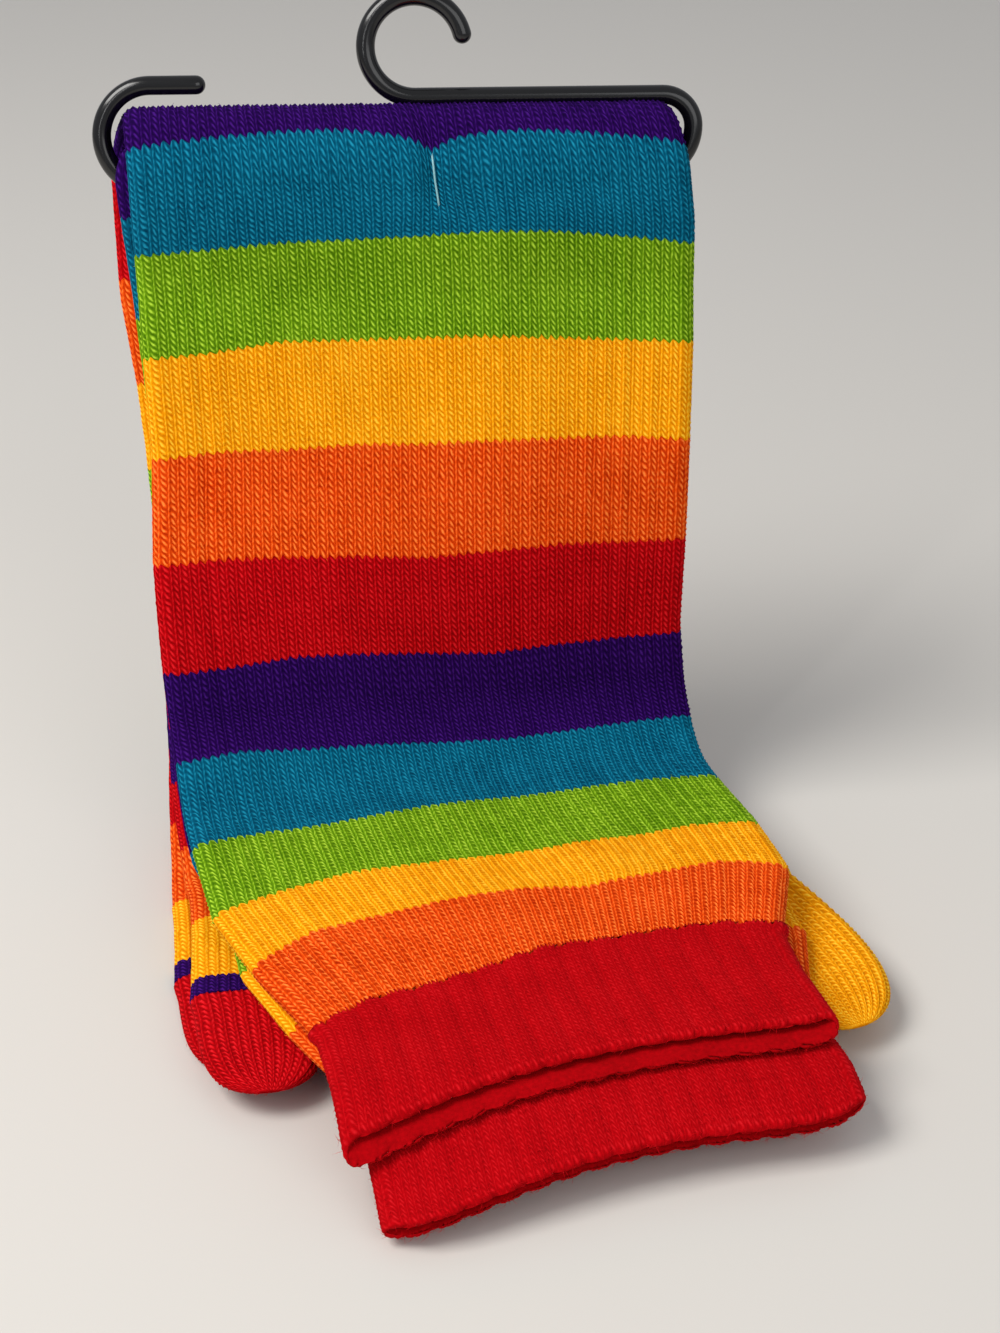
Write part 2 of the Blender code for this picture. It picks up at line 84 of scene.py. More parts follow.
# columns: distance from the fold, left half width, right half width
LEG_WIDTHS = np.array((
    (0, 49.6, 50.2), (8, 49.4, 51.0), (31, 48.7, 51.2), (50, 48.0, 50.7), (68, 49.0, 50.1),
    (86, 49.0, 49.2), (108, 48.5, 50.3), (133, 49.0, 50.6), (152, 49.7, 51.5), (170, 45.8, 50.8),
    (188, 40.2, 42.6), (200, 40.0, 42.0), (240, 39.8, 44.9),
), float)
FOOT_WIDTHS = np.array((
    (0, 54.6, 47.4), (8, 54.4, 48.6), (22, 53.8, 48.8), (38, 51.6, 48.8), (56, 50.0, 48.4),
    (80, 48.0, 48.0), (104, 49.0, 47.4), (120, 51.2, 48.0), (130, 53.3, 49.6), (145, 53.9, 51.6),
    (165, 54.0, 54.0), (200, 55.0, 55.0),
), float)
# how much wider the inner sock is than those widths, to the left and to the right
INNER_LEG_EASES = np.array((
    (0, 2.8, -3.4), (22, 1.4, -2.0), (50, 0, 0), (129, 0, 0), (145, -2.7, 0), (165, -2.2, -1.2),
    (180, -2.7, -2.0), (197, -3.6, 0), (222, -4.2, 0.9), (240, -4.2, -0.6),
), float)
INNER_FOOT_EASES = np.array(((0, -3.6, 0), (30, -3.0, 0), (68, 0, 0), (240, 0, 0)), float)
# columns: distance, slant, bow
LEG_SKEWS = np.array((
    (0, 0, 0), (13, 0, 2.6), (31, 0, 2.4), (50, 0, 1.2), (68, 0, -0.8), (108, 0, -0.4),
    (131, 0, 0), (152, 1, 4.5), (170, 2, 8), (188, 3.5, 7), (205, 5, 6.5), (240, 5, 6),
), float)
# columns: share of the half width, way forward
TOE_ROOTS = np.array(((-1.0, 3.5), (-0.2, 2.0), (0.2, -1.0), (0.6, -8.0), (1.0, -30.0)), float)
# columns: colour, length, turn outwards in degrees, squareness of the end, bow outwards halfway, then the first
# and last share of the foot's width
TOES = (
    ("red", 25.8, 4, 5, 0, -1.0, -0.6),
    ("purple", 29, 5, 7, 0, -0.6, -0.2),
    ("blue", 28, 9, 7, 0, -0.2, 0.2),
    ("green", 28, 14, 7, 0, 0.2, 0.6),
    ("yellow", 46, 18.5, 7, 3, 0.6, 1.0),
)
LEG_COLOURS = ("blue", "green", "yellow", "orange", "red", "purple")
FOOT_COLOURS = ("red", "orange", "yellow", "green", "blue", "purple", "red", "orange", "yellow")

# How far the outer leg's courses lie from straight, towards the fold.
# columns: distance from the fold, then the way at each of these shares from the middle to the edges
WARP_SHARES = np.array((-1, -0.75, -0.5, -0.25, 0, 0.25, 0.5, 0.75, 1))
LEG_WARPS = np.array((
    (0.0, 0, 0, 0, 0, 0, 0, 0, 0, 0),
    (12.9, 0.0, -0.1, 0.2, 0.1, 0.5, 1.6, 1.9, 1.5, 1.0),
    (31.2, -0.4, -0.3, 0.8, 0.4, 0.5, 0.8, 0.7, 0.9, 1.3),
    (49.5, -0.6, 0.2, 0.1, 0.6, 0.4, 0.9, 1.4, 1.9, 1.7),
    (67.8, -1.0, 0.1, 0.3, 0.2, -0.5, 0.1, 0.7, 0.4, 0.1),
    (86.1, -1.9, -1.2, 0.1, 0.0, -0.9, -2.0, -1.3, -1.2, -1.4),
    (108.8, 1.4, 2.9, 1.6, 0.7, -0.8, -1.9, -1.9, -1.5, -1.6),
    (133.4, 2.2, 2.3, 1.3, 1.2, 1.3, 0.7, 0.4, -0.6, -2.4),
    (151.7, -0.2, 0.6, 0.2, -1.9, -2.5, -4.0, -4.6, -2.8, -3.6),
    (167.0, -0.9, 1.7, -0.1, -1.0, -2.4, -5.8, -4.4, -2.1, -3.8),
    (185.3, -2.3, -1.4, -2.9, -2.9, -1.6, -2.1, -1.5, -1.2, -2.2),
    (200.0, -0.8, -0.5, -1.0, -1.0, -0.5, -0.7, -0.5, -0.4, -0.8),
    (215.0, 0, 0, 0, 0, 0, 0, 0, 0, 0),
), float)
# How far the feet's courses lie towards the toes. columns: distance from the fold, left edge, right edge
FOOT_WARPS = {
    "outer": np.array((
        (0, 0, 0), (16.3, 2.2, -1), (34.6, 3.4, -1), (60, 0, 0), (95, 0, 0), (105, -2, 1), (120, -5.5, 2),
        (136.2, -6.6, 3), (154.5, 0.4, 1), (159.5, 0, 1), (170, 0, 1),
    ), float),
    "inner": np.array((
        (0, 0, 0), (105, 0, 0), (112, -3.0, 1), (128.9, -7.8, 2), (147.2, 0.4, 1), (165.5, 0, 1),
        (170.5, 0, 1), (180, 0, 1),
    ), float),
}

# ---------------------------------------------------------------- knit
WALES = 118
COURSES = 16
TOE_BAND_COURSES = 5
TOE_COURSE = 1.16
# The row of stripes() where each sock's leg piece ends and its foot piece starts: behind the purple fold
CUT = 11
EDGE_ROUND = 2.6
BASE_HALF = 1.72
INSIDE_HALF = 0.2
# A wale: the valley before it, its left leg, the valley inside it and its right leg.
# columns: place in the wale, rise along the tube, height on a crest, height between crests
WALE = (
    (0.0, -0.36, -0.14, -0.14),
    (0.17, 0.0, 0.34, 0.30),
    (0.35, 0.36, 0.10, 0.02),
    (0.68, 0.0, 0.40, 0.14),
)
COARSE_WALES = 9
LEG_OVERHANG = 0.6
RIBS = 15
RIB_WALES = 4
EDGE_COLUMNS = 8
CUFF_COURSES = 26
CUFF_ROLL = 0.8
TOE_SLIM, TOE_TAPER = 0.965, 0.06
# Where the thread gathers the front, and how far it draws the fold's edge down
GATHER_AT = 4.0
GATHER_DIP, GATHER_REACH = 3.4, 7.0
FOLD_BOW = (2.1, 2.9)
THREAD_RADIUS = 0.19
# A fibre's triangles, from three rings of three points and a tip
FIBRE_FACES = np.array([face for k in (0, 3) for a, b in ((k, k + 1), (k + 1, k + 2), (k + 2, k))
                        for face in ((a, b, b + 3), (a, b + 3, a + 3))]
                       + [(6, 7, 9), (7, 8, 9), (8, 6, 9), (2, 1, 0)])

# Linear colours of each yarn: its shaded, middle and lit parts
COLOURS = {
    "purple": ((0.006, 0.0003, 0.030), (0.020, 0.001, 0.078), (0.052, 0.008, 0.175)),
    "blue": ((0.0, 0.038, 0.080), (0.0008, 0.108, 0.190), (0.010, 0.235, 0.365)),
    "green": ((0.045, 0.130, 0.0012), (0.155, 0.320, 0.005), (0.42, 0.66, 0.045)),
    "yellow": ((0.60, 0.170, 0.0), (0.93, 0.36, 0.002), (1.0, 0.60, 0.04)),
    "orange": ((0.40, 0.016, 0.0), (0.80, 0.074, 0.003), (1.0, 0.24, 0.04)),
    "red": ((0.21, 0.0, 0.001), (0.46, 0.0006, 0.003), (0.72, 0.012, 0.018)),
}
PALETTE = tuple(COLOURS)
# Linear colours of the cuff's red yarn: its painted shade, middle and painted highlight tones
CUFF_TONES = ((0.21, 0.0, 0.001), (0.42, 0.0005, 0.003), (0.66, 0.012, 0.018))

# The camera of the photo, fitted to the stripes and the hanger
PHOTO_TURN, PHOTO_PITCH = math.radians(2.5), math.radians(28.75)
PHOTO_PLACE = (-0.003467, -0.432595, 0.10263)
PHOTO_LENS, PHOTO_SENSOR = 64.8, 36

ACROSS = np.array((1.0, 0.0, 0.0))
DOWN = np.array((0.0, 0.0, -1.0))
LEAN_ANGLE = math.radians(LEAN)
UP = np.array((0.0, math.sin(LEAN_ANGLE), math.cos(LEAN_ANGLE)))
FRONT = np.array((0.0, -math.cos(LEAN_ANGLE), math.sin(LEAN_ANGLE)))
HOOK_V = TOP_ROD_V + HOOK_RADIUS
ROD_CENTRE = -(HOOK_V + HOOK_RADIUS - ROD_RADIUS) * UP - HOOK_U * ACROSS
STACK = GAP / 2 + TUBE + GAP + TUBE
BEND_RADIUS = FRONT_BEND_RADIUS + STACK
BEND_TURN = math.pi / 2 - LEAN_ANGLE
BEND_START = (DROP_TO_REST - STACK - BEND_RADIUS * (1 - math.sin(LEAN_ANGLE))) / math.cos(LEAN_ANGLE)
BEND_END = BEND_START + BEND_RADIUS * BEND_TURN
REST_Z = ROD_CENTRE[2] - DROP_TO_REST


def read(table, index, at):
    return np.interp(at, table[:, 0], table[:, index])


def smooth(t):
    t = np.clip(t, 0, 1)
    return t * t * (3 - 2 * t)


def bump(x, centre, width):
    return np.exp(-((x - centre) / width) ** 2)


def unit(vectors):
    return vectors / np.maximum(np.linalg.norm(vectors, axis=-1, keepdims=True), 1e-9)


def read_warp(distance, share):
    """Reads the outer leg's warps between its rows and its columns."""
    rows = LEG_WARPS[:, 0]
    i = np.clip(np.searchsorted(rows, distance) - 1, 0, len(rows) - 2)
    t = smooth((distance - rows[i]) / (rows[i + 1] - rows[i]))
    j = np.clip(np.searchsorted(WARP_SHARES, share) - 1, 0, len(WARP_SHARES) - 2)
    s = np.clip((share - WARP_SHARES[j]) / (WARP_SHARES[j + 1] - WARP_SHARES[j]), 0, 1)
    low = LEG_WARPS[i, j + 1] * (1 - s) + LEG_WARPS[i, j + 2] * s
    high = LEG_WARPS[i + 1, j + 1] * (1 - s) + LEG_WARPS[i + 1, j + 2] * s
    return low * (1 - t) + high * t


class Path:
    """The line midway between legs and feet, with directions along and across it."""

    def __init__(self, heading_column):
        self.distances = np.arange(0, 261.0, 1.0)
        points, tangents, widths = [], [], []
        point = ROD_CENTRE.copy()
        for distance in self.distances:
            turned = min(max((distance - BEND_START) / (BEND_END - BEND_START), 0), 1)
            angle = LEAN_ANGLE + turned * BEND_TURN
            heading = math.radians(float(read(HEADINGS, heading_column, distance)))
            forward = np.array((math.sin(heading), -math.cos(heading), 0))
            points.append(point)
            tangents.append(math.sin(angle) * forward + math.cos(angle) * DOWN)
            widths.append((math.cos(heading), math.sin(heading), 0))
            point = point + tangents[-1]
        self.points, self.tangents, self.widths = np.array(points), np.array(tangents), np.array(widths)

    def read(self, values, distance):
        return np.stack([np.interp(distance, self.distances, values[:, k]) for k in range(3)], -1)

    def place(self, distance, sideways, outwards):
        across = self.read(self.widths, distance)
        normal = unit(np.cross(self.read(self.tangents, distance), across))
        return self.read(self.points, distance) + sideways[..., None] * across + outwards[..., None] * normal


LEG_PATH = Path(1)
FOOT_PATH = Path(2)


def path_distance(length, radius):
    turn = radius * BEND_TURN
    if length < BEND_START:
        return length
    if length < BEND_START + turn:
        return BEND_START + (length - BEND_START) * BEND_RADIUS / radius
    return BEND_END + length - BEND_START - turn


SOCK_FIELDS = ("name", "layer", "cuff_reach", "late_stripes", "cuff_length", "corners", "foot_start",
               "toe_shift", "skew", "depth", "rise", "top_right", "purple_from")


class Sock:
    """The form of one sock, as a function of how far along the tube and how far across it.

    A length m runs from the cuff's seam to the toes, a share of the width from -1 at the left edge to 1 at the
    right one, and a turn from 0 at the left edge over the free face to 0.5 at the right one and back.
    """

    def __init__(self, *row):
        for field, value in zip(SOCK_FIELDS, row):
            setattr(self, field, value)
        self.closed = GAP / 2 + TUBE / 2 + self.layer * (TUBE + GAP)
        starts = [LEG_START + self.cuff_reach + LEG_STRIPE * k for k in range(9)]
        for length in self.late_stripes:
            starts.append(starts[-1] + length)
        self.leg_bounds = [path_distance(s, FRONT_BEND_RADIUS) for s in starts]
        ends = [self.foot_start + LEG_STRIPE * k for k in range(10)]
        ends.append(ends[-1] + TOE_BAND)
        self.foot_bounds = [path_distance(s, BEND_RADIUS + self.closed) for s in ends]
        self.leg_length = self.leg_bounds[-1]
        self.fold_length = math.pi * math.sqrt((self.depth ** 2 + self.rise ** 2) / 2)
        self.blue_edge = self.leg_length + self.fold_length * self.purple_from / 180

    def before(self, distance):
        """The distance at which the outer sock, whose cuff reaches less far, has the same form."""
        return distance - self.cuff_reach * smooth((distance - 100) / 40)

    def offset(self, distance):
        return self.closed + (self.depth - self.closed) * (1 - smooth((distance - 4) / 18))

    def widths(self, table, at, eases, distance):
        """Half widths to the left and to the right."""
        return tuple(read(table, k, at) + (0.0 if self.layer else read(eases, k, distance)) for k in (1, 2))

    def leg_width(self, distance):
        return self.widths(LEG_WIDTHS, self.before(distance), INNER_LEG_EASES, distance)

    def foot_width(self, distance):
        return self.widths(FOOT_WIDTHS, distance, INNER_FOOT_EASES, distance)

    def leg_place(self, distance, side, height):
        left, right = self.leg_width(distance)
        share = 2 * (side + left) / (left + right) - 1
        before = self.before(distance)
        slant, bow = read(LEG_SKEWS, 1, before), read(LEG_SKEWS, 2, before)
        along = distance - slant * share - bow * (1 - share * share)
        ramp = smooth((along - DROOP_START) / DROOP_LENGTH)
        edge = DROOP_LEFT * (1 - share) / 2 + DROOP_RIGHT * (1 + share) / 2
        sink = ramp * (DROOP_MIDDLE * (1 - share * share) + edge * share * share)
        outwards = self.offset(along) + height + self.wave(distance, side)
        return LEG_PATH.place(along, side, outwards) + sink[..., None] * DOWN

    def wave(self, distance, side):
        """Soft unevenness of the outer sock's free face."""
        if self.layer == 0:
            return 0 * side
        near = smooth(distance / 15) * smooth((200 - distance) / 20)
        ripples = 0.30 * np.sin(side / 11.0 + distance / 60) + 0.20 * np.sin(side / 6.1 - distance / 35)
        ripples += 0.25 * np.sin(distance / 9.0 + side / 30)
        hump = 1.3 * bump(side, 20, 9) * bump(distance, 164, 12)
        hump += 0.8 * bump(side, -22, 10) * bump(distance, 150, 16)
        hump -= 0.7 * bump(side, 2, 8) * bump(distance, 158, 12)
        return near * (0.3 + ripples) + hump

    def fold_place(self, degrees, side, height):
        angle = np.radians(degrees)
        middle = (self.depth * np.cos(angle))[..., None] * FRONT + (self.rise * np.sin(angle))[..., None] * UP
        normal = unit((np.cos(angle) / self.depth)[..., None] * FRONT + (np.sin(angle) / self.rise)[..., None] * UP)
        swell = 1 + FOLD_SWELL / TUBE * np.sin(angle)
        puff = self.layer * 1.0 * bump(degrees, 75, 30) * (height > 0)
        return ROD_CENTRE + middle + side[..., None] * ACROSS + (height * swell + puff)[..., None] * normal

    def fold_width(self, degrees):
        pinch = (np.minimum(degrees, 180 - degrees) / 90) ** PINCH_POWER
        front = degrees < 90
        leg, foot = self.leg_width(0.0), self.foot_width(0.0)
        left = np.where(front, leg[0], foot[0])
        right = np.where(front, leg[1], foot[1])
        return left + pinch * (FOLD_LEFT - left), right + pinch * (self.top_right - right)

    def foot_place(self, distance, side, height):
        ramp = np.clip((distance - TOE_SLANT_START) / (TOE_SLANT_END - TOE_SLANT_START), 0, 1)
        along = distance + ramp * read(TOE_ROOTS, 1, side / FOOT_WIDTHS[-2, 1])
        moved = side + self.toe_shift * smooth((distance - 100) / 40)
        return FOOT_PATH.place(along, moved, -self.offset(distance) - height)

    def where(self, m):
        """Distance on the leg, degrees round the fold and distance on the foot at a length from the cuff."""
        degrees = 180 * (m - self.leg_length) / self.fold_length
        return self.leg_length - m, degrees, m - self.leg_length - self.fold_length

    def width(self, m):
        d, degrees, f = self.where(m)
        leg, fold, foot = self.leg_width(d), self.fold_width(np.clip(degrees, 0, 180)), self.foot_width(f)
        pick = [np.where(d >= 0, a, np.where(f >= 0, c, b)) for a, b, c in zip(leg, fold, foot)]
        return pick[0], pick[1]

    def place(self, m, side, height):
        d, degrees, f = self.where(m)
        out = np.empty(m.shape + (3,))
        for mask, run, at in ((d >= 0, self.leg_place, d), ((d < 0) & (f < 0), self.fold_place, degrees),
                              (f >= 0, self.foot_place, f)):
            if mask.any():
                out[mask] = run(at[mask], side[mask], height[mask])
        return out

    def warp(self, m, share, side, height):
        """How far a course lies from straight, along the tube."""
        d, _, f = self.where(m)
        table = FOOT_WARPS[self.name]
        left = np.maximum(-share, 0) ** 1.5
        right = np.maximum(share, 0) ** 1.5
        moved = np.where(f > 0, left * read(table, 1, f) + right * read(table, 2, f), 0.0)
        if self.layer:
            moved = np.where(d > 0, read_warp(d, share), moved)
            away = np.sqrt((side - GATHER_AT) ** 2 + 1.0) - 1.0
            bow = FOLD_BOW[0] - FOLD_BOW[1] * share * share - GATHER_DIP * np.exp(-away / GATHER_REACH)
            moved = moved + (height > 0) * bow * bump(m, self.blue_edge, 8.0)
        return moved

    def gather(self, m, side, height):
        """Draws the wales together along the thread, and sinks them there."""
        if self.layer == 0:
            return side, height
        near = bump(m, self.blue_edge - 5, 9.0) * (height > 0)
        away = side - GATHER_AT - 0.06 * np.clip(self.blue_edge - m, 0, 12)
        drawn = side - 0.32 * away * bump(away, 0, 7.0) * near
        sunk = near * (0.5 * bump(away, 0, 2.4) - 0.25 * bump(np.abs(away), 5, 2.5))
        return drawn, height - sunk

    def tube(self, m, turn, inset=0.0, half=BASE_HALF):
        """Points of the flattened tube at a share of the way round: 0 left edge, 0.5 right edge."""
        left, right = self.width(m)
        side, height = profile(turn, left - inset, right - inset, half)
        share = (2 * side + left - right) / (left + right)
        moved = m + self.warp(m, share, side, height)
        left, right = self.width(moved)
        side, height = profile(turn, left - inset, right - inset, half)
        if inset == 0.0:
            side, height = self.gather(moved, side, height)
        return self.place(moved, side, height)

    def stripes(self):
        """From the cuff to the toes. columns: start, end, colour, courses"""
        top, end = self.leg_length, self.leg_length + self.fold_length
        rows = []
        for k in range(10, 0, -1):
            low = self.leg_bounds[k - 1]
            upper = top - low if low > 0 else self.blue_edge
            rows.append((top - self.leg_bounds[k], upper, LEG_COLOURS[(k - 1) % 6], COURSES))
        rows.append((rows[-1][1], end + max(self.foot_bounds[0], 0), "purple", COURSES + 2 + 2 * self.layer))
        for k in range(9):
            low = max(self.foot_bounds[k], 0)
            rows.append((end + low, end + self.foot_bounds[k + 1], FOOT_COLOURS[k], COURSES))
        rows.append((rows[-1][1], end + self.foot_bounds[10], "purple", TOE_BAND_COURSES))
        return rows


def profile(turn, left, right, half, rounding=EDGE_ROUND):
    """Sideways place and height on a flattened tube with rounded edges, at a share of the way round."""
    turn = np.mod(turn, 1.0)
    arc = math.pi / 2 * np.sqrt((rounding ** 2 + half ** 2) / 2)
    flat = left + right - 2 * rounding
    back = turn > 0.5
    run = np.where(back, 1 - turn, turn) * (2 * flat + 4 * arc)
    into = np.clip(run / arc, 0, 1) * math.pi / 2
    out = np.clip((run - arc - flat) / arc, 0, 1) * math.pi / 2
    side = -left + rounding * (1 - np.cos(into)) + np.clip(run - arc, 0, flat) + rounding * np.sin(out)
    height = half * np.where(run < arc, np.sin(into), np.cos(out))
    return side, np.where(back, -height, height)


SOCKS = {
    "inner": Sock("inner", 0, 12.0, (18.3, 18.9), 29.6, (6.0, 5.5), 3.5, 3.3, -0.4, 3.9, 4.4, 45.4, 0),
    "outer": Sock("outer", 1, 0.0, (15.3, 18.3), 29.0, (2.0, 3.0), -2.0, 0.0, 3.0, 8.25, 9.8, 46.8, 36),
}


# ---------------------------------------------------------------- mesh building
pieces, builds = {}, {}


class Build:
    """Gathers points and faces, a material number a face, knit coordinates a corner and roots for fuzz."""

    def __init__(self):
        self.points, self.faces, self.paints, self.uvs, self.roots = [], [], [], [], []
        self.count = 0

    def add_points(self, grid):
        flat = grid.reshape(-1, 3)
        index = self.count + np.arange(len(flat)).reshape(grid.shape[:-1])
        self.points.append(flat)
        self.count += len(flat)
        return index

    def grid_faces(self, index, paint, knots=None, flip=False):
        """Quads of a grid whose rows are closed rings; paint has one number a row or one in all."""
        ahead = np.roll(index, -1, 1)
        quads = np.stack((index[:-1], ahead[:-1], ahead[1:], index[1:]), -1)
        if knots is None:
            corners = np.zeros(quads.shape + (2,))
        else:
            corners = np.stack((knots[:-1, :-1], knots[:-1, 1:], knots[1:, 1:], knots[1:, :-1]), -2)
        if flip:
            quads, corners = quads[..., ::-1], corners[..., ::-1, :]
        self.faces += quads.reshape(-1, 4).tolist()
        self.uvs.append(corners.reshape(-1, 2))
        self.paints.append(np.repeat(np.broadcast_to(paint, len(quads)), quads.shape[1]))

    def add_triangles(self, triangles, paint, flip=False):
        self.faces += [list(t[::-1] if flip else t) for t in triangles]
        self.uvs.append(np.zeros((3 * len(triangles), 2)))
        self.paints.append(np.full(len(triangles), paint))

    def knit_faces(self, index, paint, at, around, number):
        """Faces whose knit coordinates count wales round the tube and courses along it."""
        side = np.concatenate((at, [around + at[0]]))
        self.grid_faces(index, paint, np.stack(spread(number, side)[::-1], -1))

    def keep_roots(self, grid, normal, paint):
        """Keeps some places on the outside for fuzz to grow from."""
        paint = np.broadcast_to(paint, len(grid) - 1)
        self.roots.append((grid[:-1].reshape(-1, 3), normal[:-1].reshape(-1, 3), np.repeat(paint, grid.shape[1])))

    def add_rod(self, line, one, two, radii, sides, tips):
        """A closed rod along a line, round in the plane of two directions, with a point past each end."""
        angle = 2 * math.pi * np.arange(sides) / sides
        spokes = np.cos(angle)[None, :, None] * one[:, None, :] + np.sin(angle)[None, :, None] * two[:, None, :]
        index = self.add_points(line[:, None, :] + radii[:, None, None] * spokes)
        self.grid_faces(index, 0)
        self.fan(index[0], tips[0], 0, flip=True)
        self.fan(index[-1], tips[1], 0)

    def stitch(self, one, one_at, two, two_at, paint, flip=False):
        """A band of triangles between two closed rings, matched by their shares of the way round."""
        i = j = 0
        n, k = len(one), len(two)
        a = list(one_at) + [one_at[0] + 1]
        b = list(two_at) + [two_at[0] + 1]
        out = []
        while i < n or j < k:
            if j == k or (i < n and a[i + 1] <= b[j + 1]):
                out.append((one[i % n], one[(i + 1) % n], two[j % k]))
                i += 1
            else:
                out.append((one[i % n], two[(j + 1) % k], two[j % k]))
                j += 1
        self.add_triangles(out, paint, flip)

    def fan(self, ring, point, paint, flip=False):
        tip = int(self.add_points(np.asarray(point)[None, :])[0])
        n = len(ring)
        out = [(ring[k], ring[(k + 1) % n], tip) for k in range(n)]
        self.add_triangles(out, paint, flip)

    def make(self, name, materials):
        mesh = bpy.data.meshes.new(name)
        mesh.from_pydata((np.concatenate(self.points) * MM).tolist(), [], self.faces)
        for material in materials:
            mesh.materials.append(material)
        mesh.polygons.foreach_set("material_index", np.concatenate(self.paints).astype(np.int32))
        mesh.polygons.foreach_set("use_smooth", np.ones(len(self.faces), bool))
        layer = mesh.uv_layers.new(name="knit")
        layer.data.foreach_set("uv", np.concatenate(self.uvs).astype(np.float32).reshape(-1))
        mesh.validate()
        mesh.update()
        obj = bpy.data.objects.new(name, mesh)
        bpy.context.scene.collection.objects.link(obj)
        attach(obj, "root")
        builds[name], pieces[name] = self, obj


def spread(down, across):
    """Every pair of two rows of values, as two grids."""
    return np.meshgrid(down, across, indexing="ij")


def grid_normals(grid, centre):
    """Outward normals of a grid whose rows run round a tube about these middle points."""
    around = np.roll(grid, -1, 1) - np.roll(grid, 1, 1)
    normal = unit(np.cross(np.gradient(grid, axis=0), around))
    away = np.sign((normal * (grid - centre)).sum(-1, keepdims=True))
    return normal * np.where(away == 0, 1, away)


def knit_columns(fine, count, rng):
    """The columns round the tube, in the order of WALE, with the wales outside the fine spans drawn coarsely."""
    rows = []
    wale = 0
    while wale < count:
        if any(a <= wale < b for a, b in fine):
            slip, lift = rng.normal(0, 0.035), rng.normal(0, 0.04)
            for at, rise, high, low in WALE:
                rows.append((max(wale + at + slip, 0), rise, high + lift, low + lift))
            wale += 1
        else:
            rows.append((wale, 0.0, 0.1, 0.1))
            wale = min([wale + COARSE_WALES, count] + [a for a, _ in fine if a > wale])
    return np.array(rows, float).T


def course_rows(stripes, per_course):
    """Places of the rows along the tube, the pitch there, the course number, whether it is a crest, colours."""
    rows, paint, course = [], [], 0
    for start, end, colour, courses in stripes:
        step = (end - start) / courses
        for k in range(courses * per_course):
            rows.append((start + step * k / per_course, step, course + k / per_course, k % per_course))
            paint.append(PALETTE.index(colour))
        course += courses
    rows.append((stripes[-1][1], step, course, 0))
    return *np.array(rows, float).T, paint


def knit_tube(sock, name, stripes, fine, per_course):
    """A walled, open-ended piece of the sock's tube with raised stitches on its outside."""
    rng = np.random.default_rng(SEED + len(name) + sock.layer)
    at, rise, high, low = knit_columns(fine, WALES, rng)
    m, pitch, number, crest, paint = course_rows(stripes, per_course)
    turn = at / WALES
    over = LEG_OVERHANG if name.endswith("leg") else 0.0
    ramp = np.minimum(np.clip((m - m[0] + 3 * over) / pitch, 0, 1), np.clip((m[-1] - m) / pitch, 0, 1))
    shift = rise + rng.normal(0, 0.06, (len(m), len(at)))
    grid_m = np.clip(m[:, None] + shift * pitch[:, None] * ramp[:, None], m[0] - over, m[-1])
    grid_turn = np.broadcast_to(turn, grid_m.shape)
    base = sock.tube(grid_m, grid_turn)
    normal = grid_normals(base, sock.tube(grid_m, grid_turn, 0.0, 0.01))
    lift = np.where(crest[:, None] == 1, high, low if per_course == 2 else (high + low) / 2)
    grid = base + (lift + rng.normal(0, 0.025, lift.shape))[..., None] * normal
    build = Build()
    index = build.add_points(grid)
    build.keep_roots(grid, normal, paint)
    build.knit_faces(index, paint, at, WALES, number)
    inner_turn = np.arange(24) / 24
    inner_m = np.linspace(m[0], m[-1], 2 + int((m[-1] - m[0]) / 5))
    inside = build.add_points(sock.tube(*spread(inner_m, inner_turn), WALL, INSIDE_HALF))
    build.grid_faces(inside, paint[len(paint) // 2], flip=True)
    build.stitch(index[0], turn, inside[0], inner_turn, paint[0], flip=True)
    build.stitch(index[-1], turn, inside[-1], inner_turn, paint[-1])
    build.make(name, YARNS)


def toe_point(sock, toe, share, turn, inset=0.0, half=BASE_HALF):
    """A point of a toe at a share of its length and a share of the way round."""
    _, length, lean, power, bow, first, last = toe
    at = np.array([sock.foot_bounds[-1]])
    left, right = sock.foot_width(at)
    low, high = ((left + right) * (end + 1) / 2 - left for end in (first, last))
    width = high - low
    taper = np.sqrt(np.maximum(1 - np.clip(share, 0, 1) ** power, 0))
    half_width = np.maximum((width / 2 * (1 - TOE_TAPER * share) * TOE_SLIM - inset) * taper, 0.02)
    round_off = np.minimum(EDGE_ROUND, half_width * 0.95)
    side, height = profile(turn, half_width, half_width, half * taper, round_off)
    across = FOOT_PATH.read(FOOT_PATH.widths, at)
    tangent = FOOT_PATH.read(FOOT_PATH.tangents, at)
    m_root = sock.leg_length + sock.fold_length + at
    ends = sock.place(np.repeat(m_root, 2), np.concatenate((low, high)), np.zeros(2))
    middle = ends.mean(0)
    angle = math.radians(lean)
    along = math.cos(angle) * tangent[0] + math.sin(angle) * across[0]
    beside = math.cos(angle) * across[0] - math.sin(angle) * tangent[0]
    slide = length * share[..., None] * along + bow * 4 * (share * (1 - share))[..., None] * beside
    free = middle + slide + side[..., None] * beside + height[..., None] * DOWN
    root_side = (low + high) / 2 + side / half_width * (width / 2 - inset)
    root_share = (2 * root_side + left - right) / (left + right)
    root = sock.place(m_root + sock.warp(m_root, root_share, root_side, height), root_side, height)
    along_way, aside_way = smooth(share / 0.5)[..., None], smooth(share / 0.2)[..., None]
    gap = root + slide - free
    lengthwise = (gap * along).sum(-1, keepdims=True) * along
    sideways = (gap * beside).sum(-1, keepdims=True) * beside
    rest = gap - lengthwise - sideways
    return free + (1 - along_way) * (lengthwise + rest) + (1 - aside_way) * sideways


